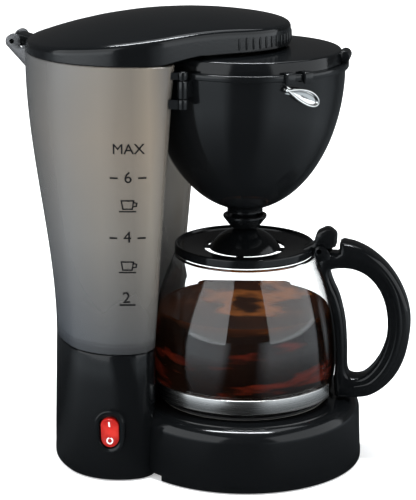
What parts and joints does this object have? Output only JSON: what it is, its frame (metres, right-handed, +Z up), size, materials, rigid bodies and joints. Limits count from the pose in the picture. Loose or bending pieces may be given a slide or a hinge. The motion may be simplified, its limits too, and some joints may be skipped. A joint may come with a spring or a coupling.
{
  "type": "drip coffee maker",
  "caption": "Drip coffee maker with smoked water tank, swing-out brew basket with drip stop, glass carafe on a round hot plate, hinged lids and a rocker switch.",
  "frame": {"origin": "on the table under the middle of the machine's outline, from the tip of the tank lid's hinge to the back of the carafe's handle", "axes": "+Z up, +X towards the carafe's handle, -Y towards the front with the switch"},
  "size_m": [0.2501, 0.15, 0.2815],
  "materials": {
    "gloss_black": "moulded glossy black plastic",
    "matte_black": "fine matt black plastic",
    "rubber": "soft black rubber",
    "steel": "plain zinc plated steel",
    "silicone": "translucent silicone",
    "plate_coating": "black non-stick coated steel plate",
    "aluminium": "die cast aluminium",
    "smoke": "smoked translucent plastic",
    "red_rocker": "red plastic, lit",
    "chrome": "bright chromed plastic",
    "jug_glass": "clear borosilicate glass",
    "polished_steel": "polished stainless steel band"
  },
  "bodies": {
    "machine": {"base_housing": "gloss_black", "basket_hinge_pin": "steel", "bottom_cover": "matte_black", "clamp_screw": "steel", "cord_gland": "matte_black", "cover_screw_1": "steel", "cover_screw_2": "steel", "cover_screw_3": "steel", "cover_screw_4": "steel", "foot_1": "rubber", "foot_2": "rubber", "foot_3": "rubber", "foot_4": "rubber", "heater_clamp": "steel", "heating_element": "aluminium", "inlet_tube": "silicone", "inlet_valve": "matte_black", "lid_hinge_pin": "steel", "outlet_arm": "smoke", "plate_seal": "silicone", "riser_tube": "silicone", "switch_bezel": "gloss_black", "terminal_block": "matte_black", "thermal_fuse": "steel", "thermostat": "steel", "warmer_plate": "plate_coating", "water_tank": "smoke"},
    "tank_lid": {"tank_lid": "gloss_black"},
    "basket": {"brew_basket": "gloss_black", "filter_cone": "matte_black", "basket_lid": "gloss_black", "basket_clip_1": "gloss_black", "basket_clip_2": "gloss_black", "pull_tab": "chrome", "valve_spring": "steel", "spring_keeper": "matte_black"},
    "drip_stop": {"drip_cup": "gloss_black", "drip_valve": "silicone"},
    "carafe": {"carafe_glass": "jug_glass", "carafe_band": "polished_steel", "handle": "gloss_black", "carafe_lid_pin": "steel"},
    "carafe_lid": {"carafe_lid": "gloss_black"},
    "switch": {"switch_rocker": "red_rocker"}
  },
  "joints": [
    {"name": "tank_lid_hinge", "type": "hinge", "parent": "machine", "child": "tank_lid", "pos_m": [-0.12105, 0, 0.2615], "axis": [0, -1, 0], "range_deg": [0, 95]},
    {"name": "basket_swing", "type": "hinge", "parent": "machine", "child": "basket", "pos_m": [-0.00805, -0.0601, 0.244], "axis": [0, 0, -1], "range_deg": [0, 75]},
    {"name": "drip_stop_slide", "type": "slide", "parent": "basket", "child": "drip_stop", "axis": [0, 0, 1], "range_m": [0, 0.0043], "stiffness_N_per_m": 40, "springref_m": -0.004, "deforming": ["valve_spring"]},
    {"name": "carafe_slide", "type": "slide", "parent": "machine", "child": "carafe", "axis": [1, 0, 0], "range_m": [0, 0.2]},
    {"name": "carafe_lid_hinge", "type": "hinge", "parent": "carafe", "child": "carafe_lid", "pos_m": [0.06795, 0, 0.136], "axis": [0, 1, 0], "range_deg": [0, 4]},
    {"name": "switch_rock", "type": "hinge", "parent": "machine", "child": "switch", "pos_m": [-0.05205, -0.063, 0.0325], "axis": [-1, 0, 0], "range_deg": [0, 14]}
  ],
  "couplings": [
    {"joint": "drip_stop_slide", "follows": "carafe_lid_hinge", "m_per_rad": 0.06}
  ]
}
